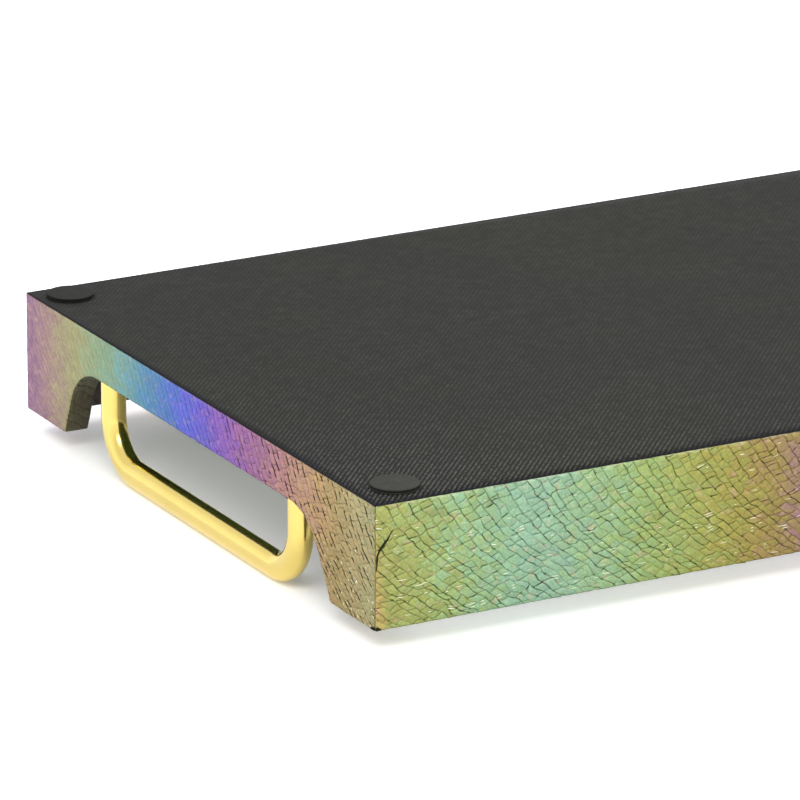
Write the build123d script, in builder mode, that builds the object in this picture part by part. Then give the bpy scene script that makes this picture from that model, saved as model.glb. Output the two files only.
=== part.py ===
from build123d import *
import os

# Rectangular serving tray with two bar handles, lying face down on its handle bars.
# Frame: X along the tray, Y across it, +Z up. The underside, with its four pads, faces +Z,
# the open well faces -Z. Origin: centre of the footprint, on the plane under the handle bars.

# ---------------- driving dimensions (mm) ----------------
LENGTH = 450.0            # tray body, along X
WIDTH = 300.0             # tray body, along Y
BODY_HEIGHT = 50.3        # rim to underside
HANDLE_PROUD = 8.2        # how far the handle bars stand past the rim
SKIN = 0.5                # thickness of the scale-grain sheet
CORE = 9.4                # fibreboard wall thickness
BASE_THICK = 6.0          # fibreboard base
SHEET = 0.6               # black grained sheet on the underside
SHEET_INSET = 0.35        # the black sheet stops this far inside the body's edge

PAD_D = 19.6              # round stick-on pad
PAD_THICK = 1.5
# the pads are stuck on by hand: centre of each from the end face and from the long face
PAD_AT = {
    "pad_front_left": (-1, -1, 17.4, 16.6),
    "pad_front_right": (1, -1, 15.8, 15.2),
    "pad_back_left": (-1, 1, 13.8, 13.4),
    "pad_back_right": (1, 1, 16.4, 14.6),
}

NOTCH_HEIGHT = 31.3       # hand opening in the end wall, rim to its edge
# the opening's two sides differ a little: distance from the tray's middle at the rim,
# the same where the slanted side would meet the edge, and the fillet between them
NOTCH_FRONT = (114.4, 95.6, 26.0)
NOTCH_BACK = (114.6, 102.6, 25.0)

BAR_THICK = 9.6           # handle section across the wall (X)
BAR_DEEP = 11.6           # handle section in the handle's own plane
BAR_ROUND = 4.2
LEG_PITCH = 160.8         # between leg centres
BEND_R = 20.5             # centreline bend

SCREW_D = 4.0             # M4 cheese-head handle screw
SCREW_CLEAR = 4.4
SCREW_LEN = 25.0
HEAD_D, HEAD_H = 7.0, 2.6
WASHER_D, WASHER_H = 8.0, 0.5
CBORE_D, CBORE_DEPTH = 8.4, 3.6

WOOD_D = 3.5              # countersunk base screws
WOOD_HEAD_D = 7.0
WOOD_HEAD_H = 2.0
WOOD_LEN = 25.0
BRAD_D = 1.4
BRAD_LEN = 21.0

FLOOR_BOARD = 2.0
FLOOR_GAP = 0.4           # round the drop-in floor panel

# ---------------- derived levels ----------------
RIM_Z = HANDLE_PROUD
UNDER_Z = RIM_Z + BODY_HEIGHT                 # underside surface
BASE_TOP = UNDER_Z - SHEET                    # base board's outer face
BASE_IN = BASE_TOP - BASE_THICK               # base board's inner face
CORE_LOW = RIM_Z + SKIN                       # wall cores start inside the rim skin
FLOOR_BOARD_LOW = BASE_IN - FLOOR_BOARD
FLOOR_Z = FLOOR_BOARD_LOW - SKIN              # carrying surface (faces -Z)
NOTCH_Z = RIM_Z + NOTCH_HEIGHT
WALL = CORE + 2 * SKIN
WALL_MID_X = LENGTH / 2 - WALL / 2
WALL_MID_Y = WIDTH / 2 - WALL / 2

os.makedirs("parts", exist_ok=True)


def save(part, name):
    part.label = name
    export_step(part, "parts/" + name + ".step")


# A wall in plan is a trapezium between two rectangles, with 45 degree mitres.
def long_plan(inset_out, inset_in, side):
    xo, yo = LENGTH / 2 - inset_out, WIDTH / 2 - inset_out
    xi, yi = LENGTH / 2 - inset_in, WIDTH / 2 - inset_in
    return [(-xo, side * yo), (xo, side * yo), (xi, side * yi), (-xi, side * yi)]


def end_plan(inset_out, inset_in, side):
    xo, yo = LENGTH / 2 - inset_out, WIDTH / 2 - inset_out
    xi, yi = LENGTH / 2 - inset_in, WIDTH / 2 - inset_in
    return [(side * xo, -yo), (side * xo, yo), (side * xi, yi), (side * xi, -yi)]


NOTCH_DROP = 30.0  # the cutting profile runs on below the rim, along the same slants
SLOPE_FRONT = (NOTCH_FRONT[0] - NOTCH_FRONT[1]) / NOTCH_HEIGHT
SLOPE_BACK = (NOTCH_BACK[0] - NOTCH_BACK[1]) / NOTCH_HEIGHT
NOTCH_PTS = [
    (-(NOTCH_FRONT[0] + SLOPE_FRONT * NOTCH_DROP), RIM_Z - NOTCH_DROP),
    (-NOTCH_FRONT[1], NOTCH_Z),
    (NOTCH_BACK[1], NOTCH_Z),
    (NOTCH_BACK[0] + SLOPE_BACK * NOTCH_DROP, RIM_Z - NOTCH_DROP),
]

# Hand opening, as a face on the YZ plane: slanted sides and two large fillets.
with BuildSketch(Plane.YZ) as notch_face:
    with BuildLine():
        Polyline(*NOTCH_PTS, close=True)
    make_face()
    top_corners = notch_face.vertices().group_by(Axis.Z)[-1].sort_by(Axis.Y)
    fillet(top_corners[0], NOTCH_FRONT[2])
    top_corners = notch_face.vertices().group_by(Axis.Z)[-1].sort_by(Axis.Y)
    fillet(top_corners[-1], NOTCH_BACK[2])

# The same opening grown by one skin: this is what the fibreboard is cut to.
with BuildSketch(Plane.YZ) as notch_core_face:
    add(notch_face.sketch_local)
    offset(amount=SKIN, kind=Kind.INTERSECTION)

# ---------------- positions of the fixings ----------------
LONG_SCREWS = [(x, s * WALL_MID_Y) for s in (-1, 1) for x in (-180, -60, 60, 180)]
END_SCREWS = [(s * WALL_MID_X, y) for s in (-1, 1) for y in (-121, 121)]
LEG_POINTS = [(s * WALL_MID_X, t * LEG_PITCH / 2) for s in (-1, 1) for t in (-1, 1)]
BRAD_Z = (RIM_Z + 12.0, RIM_Z + 33.0)

# ---------------- base board ----------------
with BuildPart() as base_board:
    with BuildSketch(Plane.XY.offset(BASE_IN)):
        Rectangle(LENGTH - 2 * SKIN, WIDTH - 2 * SKIN)
    extrude(amount=BASE_THICK)
    with Locations(Plane.XY.offset(BASE_TOP)):
        with Locations(*[(x, y, 0) for x, y in LEG_POINTS]):
            CounterBoreHole(SCREW_CLEAR / 2, CBORE_D / 2, CBORE_DEPTH)
        with Locations(*[(x, y, 0) for x, y in LONG_SCREWS + END_SCREWS]):
            Hole(WOOD_D / 2)
    # countersinks, cut as truncated cones the size of the screw heads
    with Locations(*[(x, y, BASE_TOP - WOOD_HEAD_H / 2) for x, y in LONG_SCREWS + END_SCREWS]):
        Cone(WOOD_D / 2, WOOD_HEAD_D / 2, WOOD_HEAD_H, mode=Mode.SUBTRACT)
save(base_board.part, "base_board")

# ---------------- long wall cores ----------------
for side, name in ((-1, "long_wall_front"), (1, "long_wall_back")):
    with BuildPart() as wall:
        with BuildSketch(Plane.XY.offset(CORE_LOW)):
            with BuildLine():
                Polyline(*long_plan(SKIN, SKIN + CORE, side), close=True)
            make_face()
        extrude(amount=BASE_IN - CORE_LOW)
        # pilot holes for the base screws
        with BuildSketch(Plane.XY.offset(BASE_IN)):
            with Locations(*[p for p in LONG_SCREWS if p[1] * side > 0]):
                Circle(WOOD_D / 2)
        extrude(amount=-(WOOD_LEN - BASE_THICK), mode=Mode.SUBTRACT)
        # brad holes through the mitres, from the outer face
        for z in BRAD_Z:
            with BuildSketch(Plane(origin=(0, side * (WIDTH / 2 - SKIN), z), x_dir=(1, 0, 0), z_dir=(0, -side, 0))):
                with Locations((-WALL_MID_X, 0), (WALL_MID_X, 0)):
                    Circle(BRAD_D / 2)
            extrude(amount=BRAD_LEN, mode=Mode.SUBTRACT)
    save(wall.part, name)

# ---------------- end wall cores ----------------
for side, name in ((-1, "end_wall_left"), (1, "end_wall_right")):
    with BuildPart() as wall:
        with BuildSketch(Plane.XY.offset(CORE_LOW)):
            with BuildLine():
                Polyline(*end_plan(SKIN, SKIN + CORE, side), close=True)
            make_face()
        extrude(amount=BASE_IN - CORE_LOW)
        with BuildSketch(Plane.YZ):
            add(notch_core_face.sketch_local)
        extrude(amount=LENGTH, both=True, mode=Mode.SUBTRACT)
        # clearance holes for the two handle screws, right through the band over the opening
        with BuildSketch(Plane.XY.offset(BASE_IN)):
            with Locations(*[p for p in LEG_POINTS if p[0] * side > 0]):
                Circle(SCREW_CLEAR / 2)
        extrude(amount=-20, mode=Mode.SUBTRACT)
        with BuildSketch(Plane.XY.offset(BASE_IN)):
            with Locations(*[p for p in END_SCREWS if p[0] * side > 0]):
                Circle(WOOD_D / 2)
        extrude(amount=-(WOOD_LEN - BASE_THICK), mode=Mode.SUBTRACT)
        for face_side in (-1, 1):
            for z in BRAD_Z:
                with BuildSketch(Plane(origin=(0, face_side * (WIDTH / 2 - SKIN), z), x_dir=(1, 0, 0), z_dir=(0, -face_side, 0))):
                    with Locations((side * WALL_MID_X, 0)):
                        Circle(BRAD_D / 2)
                extrude(amount=BRAD_LEN, mode=Mode.SUBTRACT)
    save(wall.part, name)

# ---------------- scale-grain skins on the long walls: outer face, rim and inner face in one sheet ----------------
for side, name in ((-1, "long_wrap_front"), (1, "long_wrap_back")):
    with BuildPart() as wrap:
        with BuildSketch(Plane.XY.offset(RIM_Z)):
            with BuildLine():
                Polyline(*long_plan(0, WALL, side), close=True)
            make_face()
        extrude(amount=SKIN)
        with BuildSketch(Plane.XY.offset(RIM_Z)):
            with BuildLine():
                Polyline(*long_plan(0, SKIN, side), close=True)
            make_face()
        extrude(amount=BASE_TOP - RIM_Z)
        with BuildSketch(Plane.XY.offset(RIM_Z)):
            with BuildLine():
                Polyline(*long_plan(SKIN + CORE, WALL, side), close=True)
            make_face()
        extrude(amount=BASE_IN - RIM_Z)
    save(wrap.part, name)

# ---------------- scale-grain skins on the end walls, cut to the hand opening ----------------
for side, name in ((-1, "end_wrap_left"), (1, "end_wrap_right")):
    with BuildPart() as wrap:
        with BuildSketch(Plane.XY.offset(RIM_Z)):
            with BuildLine():
                Polyline(*end_plan(0, WALL, side), close=True)
            make_face()
        extrude(amount=SKIN)
        with BuildSketch(Plane.XY.offset(RIM_Z)):
            with BuildLine():
                Polyline(*end_plan(0, SKIN, side), close=True)
            make_face()
        extrude(amount=BASE_TOP - RIM_Z)
        with BuildSketch(Plane.XY.offset(RIM_Z)):
            with BuildLine():
                Polyline(*end_plan(SKIN + CORE, WALL, side), close=True)
            make_face()
        extrude(amount=BASE_IN - RIM_Z)
        with BuildSketch(Plane.YZ):
            add(notch_face.sketch_local)
        extrude(amount=LENGTH, both=True, mode=Mode.SUBTRACT)
    save(wrap.part, name)

# ---------------- lining strips: cover the fibreboard edge inside each hand opening ----------------
for side, name in ((-1, "opening_lining_left"), (1, "opening_lining_right")):
    x_mid = side * WALL_MID_X
    with BuildPart() as lining:
        with BuildSketch(Plane.YZ.offset(x_mid)):
            add(notch_core_face.sketch_local)
            add(notch_face.sketch_local, mode=Mode.SUBTRACT)
            # only the stretch above the rim skin is kept
            with Locations((0, CORE_LOW - 50)):
                Rectangle(2 * LENGTH, 100, mode=Mode.SUBTRACT)
        extrude(amount=CORE / 2, both=True)
        # the handle screws pass through
        with BuildSketch(Plane.XY.offset(BASE_IN)):
            with Locations(*[p for p in LEG_POINTS if p[0] * side > 0]):
                Circle(SCREW_CLEAR / 2)
        extrude(amount=-20, mode=Mode.SUBTRACT)
    save(lining.part, name)

# ---------------- drop-in floor panel: board and its cover ----------------
FX, FY = LENGTH - 2 * WALL - 2 * FLOOR_GAP, WIDTH - 2 * WALL - 2 * FLOOR_GAP
with BuildPart() as floor_board:
    with BuildSketch(Plane.XY.offset(FLOOR_BOARD_LOW)):
        Rectangle(FX - 2 * SKIN, FY - 2 * SKIN)
    extrude(amount=FLOOR_BOARD)
save(floor_board.part, "floor_board")

with BuildPart() as floor_cover:
    with BuildSketch(Plane.XY.offset(FLOOR_Z)):
        Rectangle(FX, FY)
    extrude(amount=SKIN + FLOOR_BOARD)
    with BuildSketch(Plane.XY.offset(FLOOR_BOARD_LOW)):
        Rectangle(FX - 2 * SKIN, FY - 2 * SKIN)
    extrude(amount=FLOOR_BOARD, mode=Mode.SUBTRACT)
save(floor_cover.part, "floor_cover")

# ---------------- black grained sheet on the underside ----------------
with BuildPart() as underside_sheet:
    with BuildSketch(Plane.XY.offset(BASE_TOP)):
        Rectangle(LENGTH - 2 * SHEET_INSET, WIDTH - 2 * SHEET_INSET)
    extrude(amount=SHEET)
save(underside_sheet.part, "underside_sheet")

# ---------------- round pads ----------------
for name, (sx, sy, from_end, from_side) in PAD_AT.items():
    with BuildPart() as pad:
        with BuildSketch(Plane.XY.offset(UNDER_Z)):
            with Locations((sx * (LENGTH / 2 - from_end), sy * (WIDTH / 2 - from_side))):
                Circle(PAD_D / 2)
        extrude(amount=PAD_THICK)
        fillet(pad.faces().sort_by(Axis.Z)[-1].edges(), 0.3)
    save(pad.part, name)

# ---------------- handles: a bent bar of rounded section ----------------
BAR_Z = BAR_DEEP / 2
LEG_TOP = NOTCH_Z + 3.0
for side, name in ((-1, "handle_left"), (1, "handle_right")):
    xh = side * WALL_MID_X
    with BuildPart() as handle:
        with BuildLine() as path:
            FilletPolyline(
                (xh, -LEG_PITCH / 2, LEG_TOP),
                (xh, -LEG_PITCH / 2, BAR_Z),
                (xh, LEG_PITCH / 2, BAR_Z),
                (xh, LEG_PITCH / 2, LEG_TOP),
                radius=BEND_R,
            )
        with BuildSketch(Plane(origin=(xh, -LEG_PITCH / 2, LEG_TOP), x_dir=(1, 0, 0), z_dir=(0, 0, -1))):
            RectangleRounded(BAR_THICK, BAR_DEEP, BAR_ROUND)
        sweep(path=path.wires()[0])
        # the leg ends are coped to the edge of the opening: what lies past the opening is cut away
        with BuildSketch(Plane.YZ.offset(xh)):
            with Locations((0, RIM_Z + 40)):
                Rectangle(2 * WIDTH, 80)
            add(notch_face.sketch_local, mode=Mode.SUBTRACT)
        extrude(amount=WALL, both=True, mode=Mode.SUBTRACT)
        # tapped holes for the screws
        with BuildSketch(Plane.XY.offset(NOTCH_Z + 1)):
            with Locations((xh, -LEG_PITCH / 2), (xh, LEG_PITCH / 2)):
                Circle(SCREW_D / 2)
        extrude(amount=-13.5, mode=Mode.SUBTRACT)
    save(handle.part, name)

# ---------------- handle screws and washers ----------------
SEAT_Z = BASE_TOP - CBORE_DEPTH
with BuildPart() as handle_washers:
    with BuildSketch(Plane.XY.offset(SEAT_Z)):
        with Locations(*LEG_POINTS):
            Circle(WASHER_D / 2)
            Circle(SCREW_CLEAR / 2, mode=Mode.SUBTRACT)
    extrude(amount=WASHER_H)
save(handle_washers.part, "handle_washers")

HEAD_Z = SEAT_Z + WASHER_H
with BuildPart() as handle_screws:
    with BuildSketch(Plane.XY.offset(HEAD_Z)):
        with Locations(*LEG_POINTS):
            Circle(HEAD_D / 2)
    extrude(amount=HEAD_H)
    fillet(handle_screws.faces().sort_by(Axis.Z)[-4:].edges(), 0.5)
    with BuildSketch(Plane.XY.offset(HEAD_Z)):
        with Locations(*LEG_POINTS):
            Circle(SCREW_D / 2)
    extrude(amount=-SCREW_LEN)
    # cross recess
    with BuildSketch(Plane.XY.offset(HEAD_Z + HEAD_H)):
        with Locations(*LEG_POINTS):
            Rectangle(4.0, 0.9)
            Rectangle(0.9, 4.0)
    extrude(amount=-1.6, mode=Mode.SUBTRACT)
save(handle_screws.part, "handle_screws")

# ---------------- countersunk screws, base board to walls ----------------
with BuildPart() as base_screws:
    with Locations(*[(x, y, BASE_TOP - WOOD_HEAD_H / 2) for x, y in LONG_SCREWS + END_SCREWS]):
        Cone(WOOD_D / 2, WOOD_HEAD_D / 2, WOOD_HEAD_H)
    with BuildSketch(Plane.XY.offset(BASE_TOP - WOOD_HEAD_H)):
        with Locations(*(LONG_SCREWS + END_SCREWS)):
            Circle(WOOD_D / 2)
    extrude(amount=-(WOOD_LEN - WOOD_HEAD_H))
    with BuildSketch(Plane.XY.offset(BASE_TOP)):
        with Locations(*(LONG_SCREWS + END_SCREWS)):
            Rectangle(3.4, 0.7)
            Rectangle(0.7, 3.4)
    extrude(amount=-1.2, mode=Mode.SUBTRACT)
save(base_screws.part, "base_screws")

# ---------------- brads through the mitred corners ----------------
with BuildPart() as corner_brads:
    for side in (-1, 1):
        for z in BRAD_Z:
            with BuildSketch(Plane(origin=(0, side * (WIDTH / 2 - SKIN), z), x_dir=(1, 0, 0), z_dir=(0, -side, 0))):
                with Locations((-WALL_MID_X, 0), (WALL_MID_X, 0)):
                    Circle(BRAD_D / 2)
            extrude(amount=BRAD_LEN)
save(corner_brads.part, "corner_brads")
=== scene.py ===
import math

import bmesh
import bpy
import numpy as np
from mathutils import Matrix, Vector


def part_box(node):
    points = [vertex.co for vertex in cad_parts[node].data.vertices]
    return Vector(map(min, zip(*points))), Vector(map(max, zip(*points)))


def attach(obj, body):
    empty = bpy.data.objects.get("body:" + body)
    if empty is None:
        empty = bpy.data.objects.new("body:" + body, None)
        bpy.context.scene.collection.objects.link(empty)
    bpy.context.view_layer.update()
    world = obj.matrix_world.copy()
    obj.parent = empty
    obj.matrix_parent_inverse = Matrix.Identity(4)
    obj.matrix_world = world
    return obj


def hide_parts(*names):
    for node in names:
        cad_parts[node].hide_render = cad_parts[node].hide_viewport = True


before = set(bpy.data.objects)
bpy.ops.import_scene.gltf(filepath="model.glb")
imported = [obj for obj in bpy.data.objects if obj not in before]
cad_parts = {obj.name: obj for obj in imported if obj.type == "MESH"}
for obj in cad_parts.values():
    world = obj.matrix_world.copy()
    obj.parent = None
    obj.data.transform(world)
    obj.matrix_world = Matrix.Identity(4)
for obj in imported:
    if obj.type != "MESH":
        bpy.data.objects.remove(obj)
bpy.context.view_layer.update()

# ------------------------------------------------------------------ sizes, read from the frame (mm)
MM = 0.001


def corners(node):
    lo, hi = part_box(node)
    return np.array(lo) * 1000, np.array(hi) * 1000


wl, wh = corners("long_wrap_front")
sl, sh = corners("underside_sheet")
il, ih = corners("floor_cover")
el, eh = corners("end_wrap_left")
hl, hh = corners("handle_left")
HX = float(wh[0])                      # half length, 225
HY = float(-wl[1])                     # half width, 150
RIM = float(wl[2])                     # rim level
BTOP = float(sl[2])                    # outer face of the base board
UNDER = float(sh[2])                   # underside surface
WALL = float(eh[0] - el[0])            # wall thickness with both skins, 10.4
WELL = float(il[2])                    # well floor, facing down
ll, lh = corners("opening_lining_left")
NOTCH_Z = float(lh[2]) - 0.5           # edge of the hand opening
NOTCH_FRONT = (114.4, 95.6, 26.0)      # half width at the rim and at the top, and the fillet
NOTCH_BACK = (114.6, 102.6, 25.0)
BXM = (HX - WALL / 2)                  # middle of the end wall
R_EDGE = 0.75                          # folded edges of the sheet


# ------------------------------------------------------------------ noise and mesh helpers
def _h(ix, iy, seed):
    n = (ix * 374761393 + iy * 668265263 + seed * 974634777) & 0x7FFFFFFF
    n = ((n ^ (n >> 13)) * 1274126177) & 0x7FFFFFFF
    return ((n ^ (n >> 16)) & 0xFFFF) / 65535.0


def vnoise(x, y, seed=0):
    x, y = np.broadcast_arrays(np.asarray(x, float), np.asarray(y, float))
    ix, iy = np.floor(x).astype(np.int64), np.floor(y).astype(np.int64)
    fx, fy = x - ix, y - iy
    fx, fy = fx * fx * (3 - 2 * fx), fy * fy * (3 - 2 * fy)
    a, b = _h(ix, iy, seed), _h(ix + 1, iy, seed)
    c, d = _h(ix, iy + 1, seed), _h(ix + 1, iy + 1, seed)
    return (a * (1 - fx) + b * fx) * (1 - fy) + (c * (1 - fx) + d * fx) * fy


def new_mesh(name, verts, faces, smooth=True, points=None, per_face=None):
    me = bpy.data.meshes.new(name)
    me.from_pydata((np.asarray(verts) * MM).tolist(), [], faces)
    me.polygons.foreach_set("use_smooth", [smooth] * len(me.polygons))
    for key, data in (points or {}).items():
        at = me.attributes.new(key, "FLOAT", "POINT")
        at.data.foreach_set("value", np.asarray(data, np.float32))
    for key, data in (per_face or {}).items():
        at = me.attributes.new(key, "FLOAT", "FACE")
        at.data.foreach_set("value", np.asarray(data, np.float32))
    me.validate()
    me.update()
    ob = bpy.data.objects.new(name, me)
    bpy.context.scene.collection.objects.link(ob)
    return ob


# ------------------------------------------------------------------ the crack network of the scale grain
# Long cracks run in slanting lines that bend over towards the bottom; short ones join each pair of them.
def slope_integral(v):
    return 1.02 * v - 0.40 * (50 / np.pi) * np.sin(np.pi * v / 50)


def slope(v):
    return 1.02 - 0.40 * np.cos(np.pi * v / 50)


def to_uv(p, q, P, t):
    """lattice to sheet: p counts long cracks, q runs along them."""
    v = q / (1 + t)
    for _ in range(12):
        f = v + t * (P * p + slope_integral(v)) - q
        v = v - f / (1 + t * slope(v))
    return P * p + slope_integral(v), v


def crack_net(u0, u1, v0, v1, P, Q, seed, t=0.34, step=1.1, long_gain=1.0, short_gain=1.0, broken=0.0, rough=1.0):
    rng = np.random.default_rng(seed)
    m = 5.0
    ps = [(u - float(slope_integral(v))) / P for u in (u0 - m, u1 + m) for v in (v0 - m, v1 + m)]
    i0, i1 = int(math.floor(min(ps))), int(math.ceil(max(ps)))

    def qrange(i):
        lo_v, hi_v = v0 - m, v1 + m
        return (lo_v + t * (P * i + float(slope_integral(lo_v))), hi_v + t * (P * i + float(slope_integral(hi_v))))

    ends = {i: [] for i in range(i0, i1 + 2)}
    bands = {}
    for i in range(i0, i1 + 1):
        qa, qb = qrange(i)
        q = qa + rng.uniform(0, Q)
        cracks = []
        while q < qb + t * P:
            left, right = q + rng.uniform(-0.55, 0.55), q + rng.uniform(-0.55, 0.55)
            near = [e for e in ends[i] if abs(e - left) < 0.95]
            if near:
                left = near[0]
            kind = rng.random()
            s = rng.uniform(0.10, 0.24) if kind < 0.16 else (rng.uniform(0.30, 0.62) if kind < 0.88 else rng.uniform(0.6, 0.9))
            if cracks:
                left, right = max(left, cracks[-1][0]), max(right, cracks[-1][1])
            if not cracks or left - cracks[-1][0] > 0.9 or right - cracks[-1][1] > 0.9:
                cracks.append((left, right, s))
                ends[i].append(left)
                ends[i + 1].append(right)
            q += Q * rng.choice([0.55, 0.8, 1.0, 1.25, 1.7], p=[0.16, 0.24, 0.26, 0.20, 0.14]) * rng.uniform(0.88, 1.14)
        bands[i] = cracks
    pos, strength = [], []
    line_q, line_id = {}, {}
    for i in ends:
        es = sorted(set(ends[i]))
        if not es:
            continue
        clean = [es[0]]
        for e in es[1:]:
            if e - clean[-1] > 1e-6:
                clean.append(e)
        qs = [clean[0]]
        for a, b in zip(clean[:-1], clean[1:]):
            n = max(1, int(round((b - a) / step)))
            qs += [a + (b - a) * k / n for k in range(1, n + 1)]
        qs = np.array(qs)
        jit = 0.26 * (float(_h(np.int64(i), np.int64(3), seed)) - 0.5)
        wander = jit + 0.30 * (vnoise(qs / 11.0, i * 3.7, seed + 1) - 0.5) + 0.24 * (vnoise(i * 0.9 + 0.5, qs / 26.0, seed + 2) - 0.5) \
            + 0.20 * (vnoise(qs / 2.6, i * 6.1, seed + 8) - 0.5)
        r = float(_h(np.int64(i), np.int64(7), seed))
        own = (0.58 + 0.36 * r) if r > 0.30 else (0.36 + 0.4 * r)
        s = own * (0.34 + 1.0 * vnoise(qs / 8.5, i * 5.1, seed + 3)) * (0.6 + 0.8 * vnoise(qs / 2.9, i * 4.3, seed + 6))
        if broken > 0:
            g = vnoise(qs / 2.3, i * 8.3, seed + 4)
            s = s * (1 - broken) + broken * np.where(g > 0.58, 1.5, 0.14)
        base = len(pos)
        pos += list(zip((i + wander).tolist(), qs.tolist()))
        strength += (np.clip(s * long_gain, 0.05, 1.3)).tolist()
        line_q[i], line_id[i] = qs, np.arange(base, base + len(qs))

    def on_line(i, q):
        return int(np.argmin(np.abs(line_q[i] - q)))

    seconds = {}
    for i, cracks in bands.items():
        for k, (left, right, s) in enumerate(cracks):
            a, b = line_id[i][on_line(i, left)], line_id[i + 1][on_line(i + 1, right)]
            (pa, qa), (pb, qb) = pos[a], pos[b]
            n = max(3, int(round(P * 1.05 / step)))
            ids = [int(a)]
            bow = rng.uniform(-0.11, 0.11) * P
            for j in range(1, n):
                f = j / n
                ids.append(len(pos))
                pos.append((pa + (pb - pa) * f, qa + (qb - qa) * f + bow * math.sin(math.pi * f)))
                strength.append(float(np.clip(s * short_gain * rng.uniform(0.75, 1.2), 0.04, 1.2)))
            ids.append(int(b))
            if broken == 0 and rng.random() < 0.4:
                end = int(a) if rng.random() < 0.5 else int(b)
                strength[end] = min(1.3, strength[end] + rng.uniform(0.3, 0.7))
            seconds[(i, k)] = ids
    pos = np.array(pos)
    u, v = to_uv(pos[:, 0], pos[:, 1], P, t)
    loose = np.clip((v - 20) / 24, 0, 1)
    big = (1.2 + 1.0 * loose * loose * (3 - 2 * loose)) * rough
    du = big * (vnoise(u / 5.6, v / 5.6, seed + 11) - 0.5) + 0.62 * rough * (vnoise(u / 1.9, v / 1.9, seed + 12) - 0.5)
    dv = big * (vnoise(u / 5.6, v / 5.6, seed + 13) - 0.5) + 0.62 * rough * (vnoise(u / 1.9, v / 1.9, seed + 14) - 0.5)
    uv = np.stack([u + du, v + dv], 1)
    cells = []
    for i, cracks in bands.items():
        for k in range(len(cracks) - 1):
            low, high = seconds[(i, k)], seconds[(i, k + 1)]
            a0, a1 = on_line(i, cracks[k][0]), on_line(i, cracks[k + 1][0])
            b0, b1 = on_line(i + 1, cracks[k][1]), on_line(i + 1, cracks[k + 1][1])
            if a1 < a0 or b1 < b0 or (a1 == a0 and b1 == b0):
                continue
            right = [int(x) for x in line_id[i + 1][b0 + 1:b1]]
            left = [int(x) for x in line_id[i][a0 + 1:a1]][::-1]
            loop = low + right + high[::-1] + left
            cells.append((loop, len(low) - 1, len(low) + len(right)))
    return uv, np.array(strength), cells


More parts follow.
